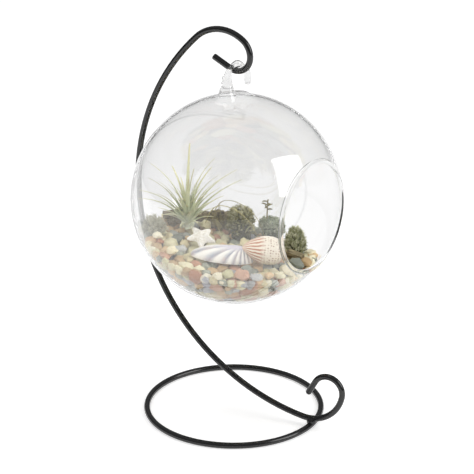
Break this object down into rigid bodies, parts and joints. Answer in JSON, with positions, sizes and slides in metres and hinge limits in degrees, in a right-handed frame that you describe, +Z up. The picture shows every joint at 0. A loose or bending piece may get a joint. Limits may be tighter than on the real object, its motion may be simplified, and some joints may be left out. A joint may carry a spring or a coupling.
{
  "type": "hanging air plant holder",
  "caption": "Clear glass globe with a round side opening and gravel, moss and an air plant inside, hung by its glass hook from a black wire stand on a ring foot.",
  "frame": {"origin": "centre of the wire ring foot, on the table's plane", "axes": "+Z up; the bow of the stand lies in the XZ plane, with the scroll at its foot towards +X and the belly of the bow towards -X; the globe opens towards +X"},
  "size_m": [0.1371, 0.12, 0.2303],
  "materials": {
    "black_paint": "satin black powder coat",
    "clear_glass": "clear, fire-polished",
    "gravel": "tumbled",
    "stone_cream": "tumbled, polished",
    "stone_terracotta": "tumbled, polished",
    "stone_grey": "tumbled, polished",
    "stone_tan": "tumbled, polished",
    "weathered_wood": "weathered",
    "moss": "preserved moss",
    "grass": "dried",
    "shell": "natural shell",
    "leaf": "silvery green"
  },
  "bodies": {
    "stand": {"base_ring": "black_paint", "hook_arm": "black_paint", "arm_weld": "black_paint"},
    "globe": {"glass_globe": "clear_glass", "glass_dome": "clear_glass", "glass_hook": "clear_glass", "gravel_bed": "gravel", "stones_cream": "stone_cream", "stones_terracotta": "stone_terracotta", "stones_grey": "stone_grey", "stones_tan": "stone_tan", "driftwood": "weathered_wood", "wood_chip": "weathered_wood", "twig_sprig": "weathered_wood", "moss_clump": "moss", "moss_block": "moss", "moss_tuft": "moss", "grass_blades": "grass", "cockle_shell": "shell", "snail_shell": "shell", "starfish": "shell", "coral_piece": "shell"},
    "plant": {"air_plant": "leaf"}
  },
  "joints": [
    {"name": "globe_swing", "type": "hinge", "parent": "stand", "child": "globe", "pos_m": [0.0019, 0, 0.20634], "axis": [1, 0, 0], "range_deg": [-25, 25]},
    {"name": "plant_lift", "type": "slide", "parent": "globe", "child": "plant", "axis": [0, 0, 1], "range_m": [0, 0.01]}
  ]
}
